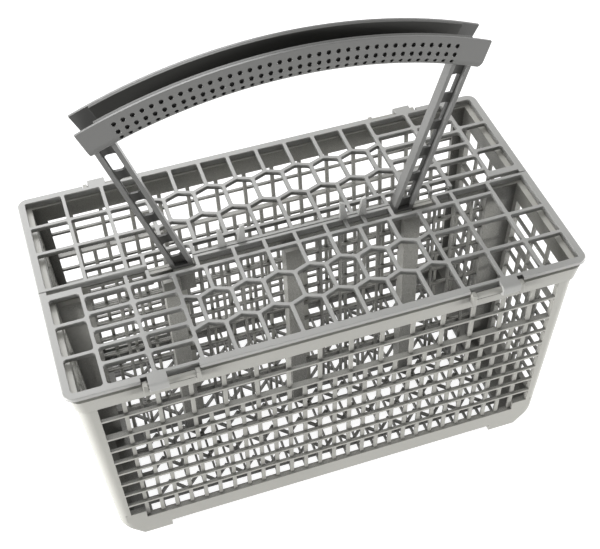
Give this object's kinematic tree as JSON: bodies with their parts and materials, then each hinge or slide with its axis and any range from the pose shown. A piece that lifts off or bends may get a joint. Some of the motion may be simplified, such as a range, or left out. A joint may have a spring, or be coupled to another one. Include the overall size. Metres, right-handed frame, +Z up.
{
  "type": "dishwasher cutlery basket",
  "caption": "Lattice cutlery basket in two halves set back to back, with hinged grid lids and an arched carrying handle on leaning ladder posts.",
  "frame": {"origin": "middle of the base, on the surface the feet stand on", "axes": "+X along the basket to the right, +Y from the front half to the rear half, +Z up"},
  "size_m": [0.2448, 0.1384, 0.2358],
  "materials": {
    "basket_plastic": "light grey moulded plastic with a satin sheen",
    "lid_plastic": "grey moulded plastic with a satin sheen",
    "handle_plastic": "dark grey moulded plastic with a satin sheen",
    "core_plastic": "near black moulded plastic"
  },
  "bodies": {
    "basket": {"front_basket": "basket_plastic", "rear_basket": "basket_plastic", "handle": "handle_plastic", "handle_core": "core_plastic"},
    "front_lid": {"front_lid": "lid_plastic"},
    "rear_lid": {"rear_lid": "lid_plastic"}
  },
  "joints": [
    {"name": "front_lid_hinge", "type": "hinge", "parent": "basket", "child": "front_lid", "pos_m": [0, -0.0662, 0.1248], "axis": [1, 0, 0], "range_deg": [0, 105]},
    {"name": "rear_lid_hinge", "type": "hinge", "parent": "basket", "child": "rear_lid", "pos_m": [0, 0.0662, 0.1248], "axis": [-1, 0, 0], "range_deg": [0, 105]}
  ]
}
